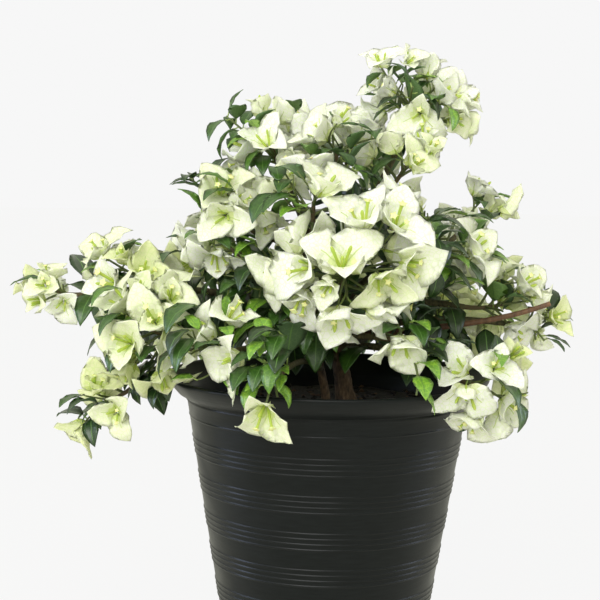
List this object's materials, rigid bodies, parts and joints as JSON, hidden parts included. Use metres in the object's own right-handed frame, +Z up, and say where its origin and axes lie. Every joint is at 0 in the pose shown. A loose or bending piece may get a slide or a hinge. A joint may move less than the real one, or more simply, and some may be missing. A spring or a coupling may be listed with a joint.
{
  "type": "potted bougainvillea bush",
  "caption": "Round ribbed plastic pot holding a bushy bougainvillea: forking woody stems carry clusters of pale papery bracts and green leaves.",
  "frame": {"origin": "centre of the pot's flat underside", "axes": "+Z up, -Y towards the side the bush is mostly seen from, +X to that viewer's right"},
  "size_m": [0.5343, 0.3635, 0.5651],
  "materials": {
    "pot_plastic": "satin black moulded plastic",
    "soil": "crumbly dark potting mix",
    "bark": "rough brown bark",
    "foliage": "papery cream-white bracts and green leaves"
  },
  "bodies": {
    "root": {"pot": "pot_plastic", "soil": "soil", "main_stem": "bark", "second_stem": "bark", "cut_branch": "bark", "bough_top": "bark", "bough_crest": "bark", "bough_top_centre": "bark", "bough_upper_left": "bark", "bough_upper_middle": "bark", "bough_left_upper": "bark", "bough_front_heart": "bark", "bough_right_middle": "bark", "bough_right_upper": "bark", "bough_right": "bark", "bough_right_tip": "bark", "bough_right_low": "bark", "bough_front_low": "bark", "bough_left_middle": "bark", "bough_far_left": "bark", "bough_left_low": "bark", "bough_left_hanging": "bark", "bough_front_left": "bark", "bough_front_sprig": "bark", "bough_inner_left": "bark", "bough_inner_leaves": "bark", "bough_back_top": "bark", "bough_back_left": "bark", "bough_back_right": "bark", "bough_back_heart": "bark", "bough_back_left_low": "bark", "bough_back_right_low": "bark", "mass_top": "foliage", "mass_crest": "foliage", "mass_top_centre": "foliage", "mass_upper_left": "foliage", "mass_upper_middle": "foliage", "mass_left_upper": "foliage", "mass_front_heart": "foliage", "mass_right_middle": "foliage", "mass_right_upper": "foliage", "mass_right": "foliage", "mass_right_tip": "foliage", "mass_right_low": "foliage", "mass_front_low": "foliage", "mass_left_middle": "foliage", "mass_far_left": "foliage", "mass_left_low": "foliage", "mass_left_hanging": "foliage", "mass_front_left": "foliage", "mass_front_sprig": "foliage", "mass_inner_left": "foliage", "mass_inner_leaves": "foliage", "mass_back_top": "foliage", "mass_back_left": "foliage", "mass_back_right": "foliage", "mass_back_heart": "foliage", "mass_back_left_low": "foliage", "mass_back_right_low": "foliage"}
  },
  "joints": []
}
